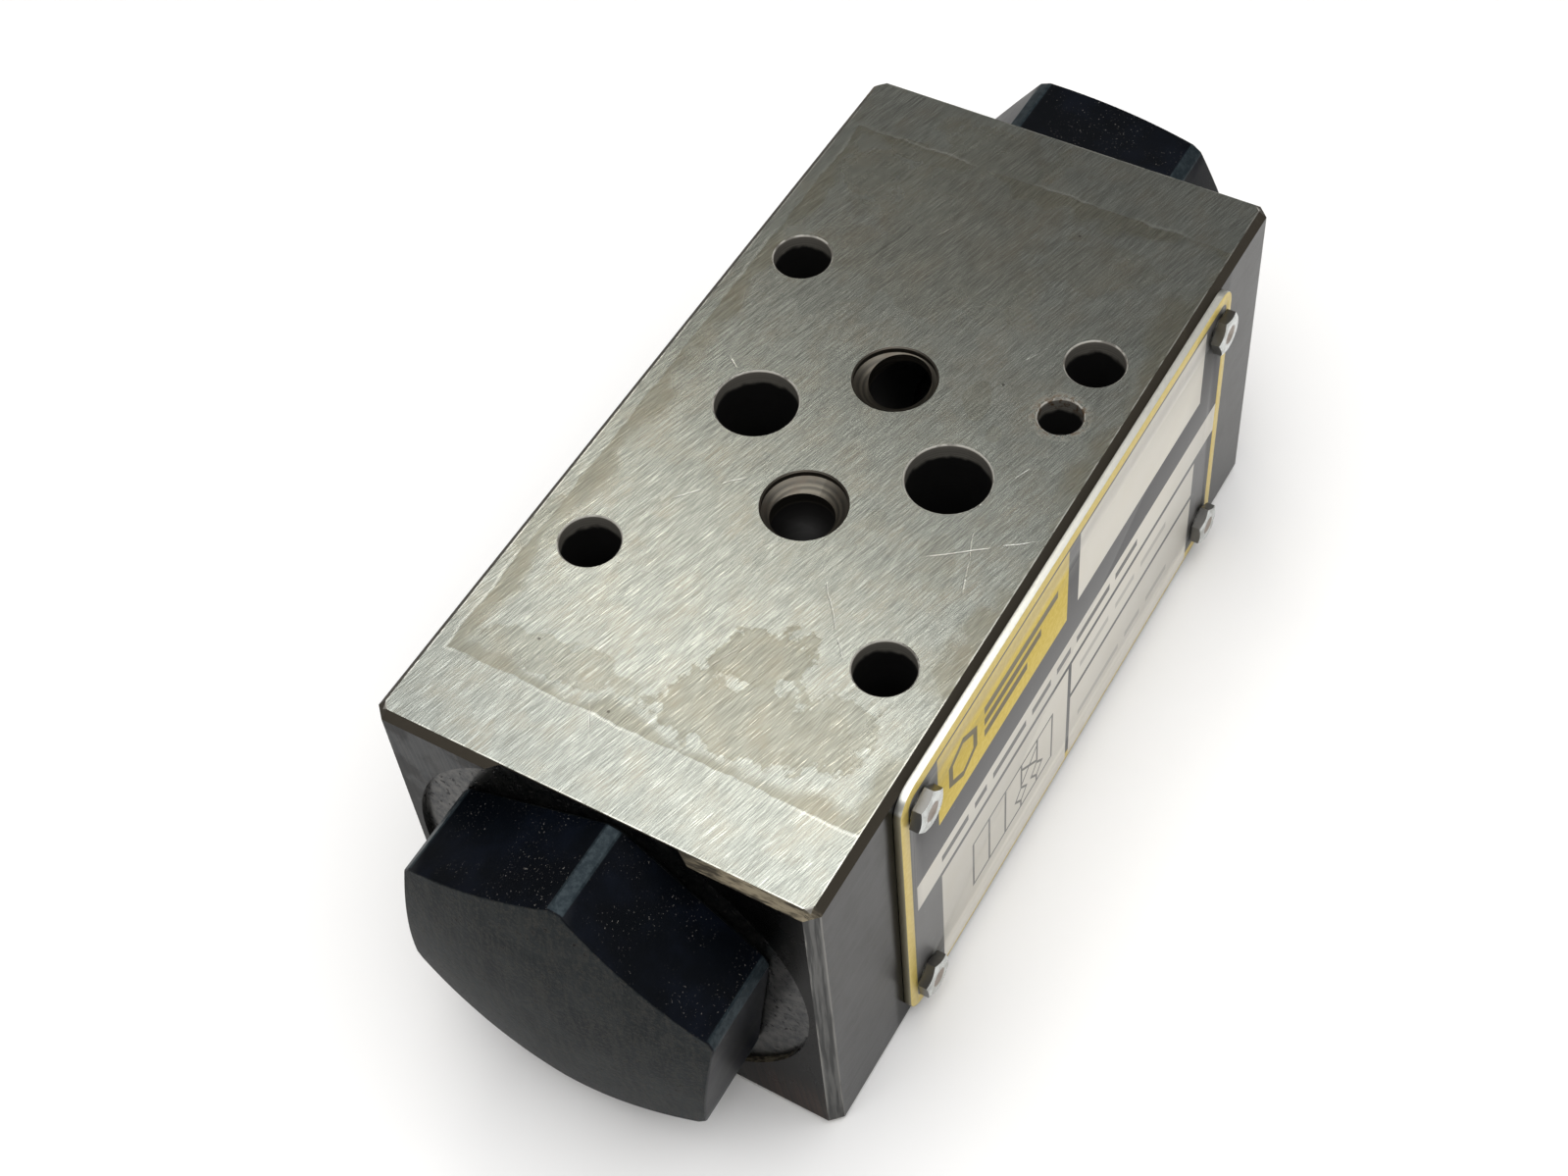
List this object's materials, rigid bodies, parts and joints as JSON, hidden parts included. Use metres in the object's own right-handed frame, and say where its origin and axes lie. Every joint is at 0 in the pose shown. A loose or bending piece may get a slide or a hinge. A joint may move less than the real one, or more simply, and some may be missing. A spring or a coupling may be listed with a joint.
{
  "type": "hydraulic sandwich check valve",
  "caption": "Sandwich valve block with a spring-loaded check poppet in each work line, opened by a pilot piston, closed by hexagon end plugs and carrying a nameplate.",
  "frame": {"origin": "centre of the port pattern on the seal face (the lower, hidden face)", "axes": "+Z from the seal face to the ported face; +X along the main bore from end A to end B; the nameplate is on the -Y side"},
  "size_m": [0.1156, 0.0474, 0.04],
  "materials": {
    "body_steel": "ground ported face, dark phosphated sides and edge chamfers",
    "plug_black_oxide": "black oxide over turned and milled steel, satin",
    "nameplate_aluminium": "printed and anodised sheet with a gold rim",
    "zinc_screw": "bright zinc plated",
    "spring_steel": "drawn spring wire",
    "backup_ring_plastic": "white PTFE",
    "seal_rubber": "black nitrile rubber",
    "turned_steel": "turned steel",
    "hardened_steel": "hardened and ground steel"
  },
  "bodies": {
    "valve_body": {"body": "body_steel", "nameplate": "nameplate_aluminium", "end_plug_a": "plug_black_oxide", "plug_ring_a": "seal_rubber", "check_seat_a": "hardened_steel", "seat_ring_a": "seal_rubber", "seat_backup_ring_a": "backup_ring_plastic", "check_cage_a": "turned_steel", "check_spring_a": "spring_steel", "end_plug_b": "plug_black_oxide", "plug_ring_b": "seal_rubber", "check_seat_b": "hardened_steel", "seat_ring_b": "seal_rubber", "seat_backup_ring_b": "backup_ring_plastic", "check_cage_b": "turned_steel", "check_spring_b": "spring_steel", "nameplate_screw_a_top": "zinc_screw", "nameplate_screw_a_bottom": "zinc_screw", "nameplate_screw_b_top": "zinc_screw", "nameplate_screw_b_bottom": "zinc_screw", "port_seal_p": "seal_rubber", "port_seal_t": "seal_rubber", "port_seal_a": "seal_rubber", "port_seal_b": "seal_rubber"},
    "pilot_piston": {"pilot_piston": "hardened_steel"},
    "check_poppet_a": {"check_poppet_a": "hardened_steel"},
    "check_poppet_b": {"check_poppet_b": "hardened_steel"}
  },
  "joints": [
    {"name": "pilot_piston_slide", "type": "slide", "parent": "valve_body", "child": "pilot_piston", "axis": [1, 0, 0], "range_m": [-0.00095, 0.00095]},
    {"name": "check_poppet_a_slide", "type": "slide", "parent": "valve_body", "child": "check_poppet_a", "axis": [-1, 0, 0], "range_m": [0, 0.00215], "stiffness_N_per_m": 500, "springref_m": -0.0016, "deforming": ["check_spring_a"]},
    {"name": "check_poppet_b_slide", "type": "slide", "parent": "valve_body", "child": "check_poppet_b", "axis": [1, 0, 0], "range_m": [0, 0.00215], "stiffness_N_per_m": 500, "springref_m": -0.0016, "deforming": ["check_spring_b"]}
  ]
}
